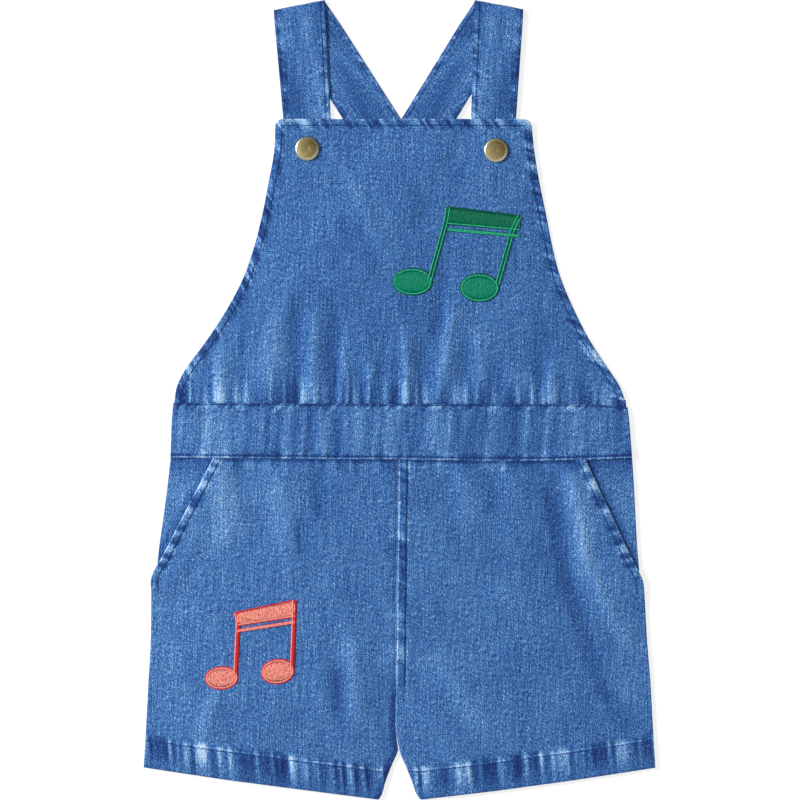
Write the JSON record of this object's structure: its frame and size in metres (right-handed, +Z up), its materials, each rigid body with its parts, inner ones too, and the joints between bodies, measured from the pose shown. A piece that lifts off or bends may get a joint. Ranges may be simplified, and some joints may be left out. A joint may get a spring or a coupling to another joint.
{
  "type": "denim overalls",
  "caption": "Child's short-legged denim overalls laid flat, front up: gathered bib with crossed straps and press studs, waistband, slanted hip pockets and hemmed legs.",
  "frame": {"origin": "middle of the garment's length and width, on the surface that it lies on", "axes": "+Y from the leg hems towards the shoulders, +Z up from the surface through the front, +X to the right of someone who looks down at the front"},
  "size_m": [0.3376, 0.5277, 0.0067],
  "materials": {
    "denim": "mid-blue washed cotton denim, fine twill with pale slubs",
    "denim_inside": "mid-blue washed cotton denim on the hidden back",
    "brass": "antiqued brass with a bright worn rim",
    "green_thread": "glossy satin-stitch embroidery thread, green",
    "coral_thread": "glossy satin-stitch embroidery thread, coral with a red outline",
    "blue_thread": "tonal blue sewing thread"
  },
  "bodies": {
    "root": {"front_bib": "denim", "waistband_front": "denim", "leg_front_left": "denim", "leg_front_right": "denim", "pocket_side_left": "denim", "pocket_side_right": "denim", "strap_left": "denim", "strap_right": "denim", "waistband_back": "denim_inside", "leg_back_left": "denim_inside", "leg_back_right": "denim_inside", "snap_left": "brass", "snap_right": "brass", "stud_left": "brass", "stud_right": "brass"}
  },
  "joints": []
}
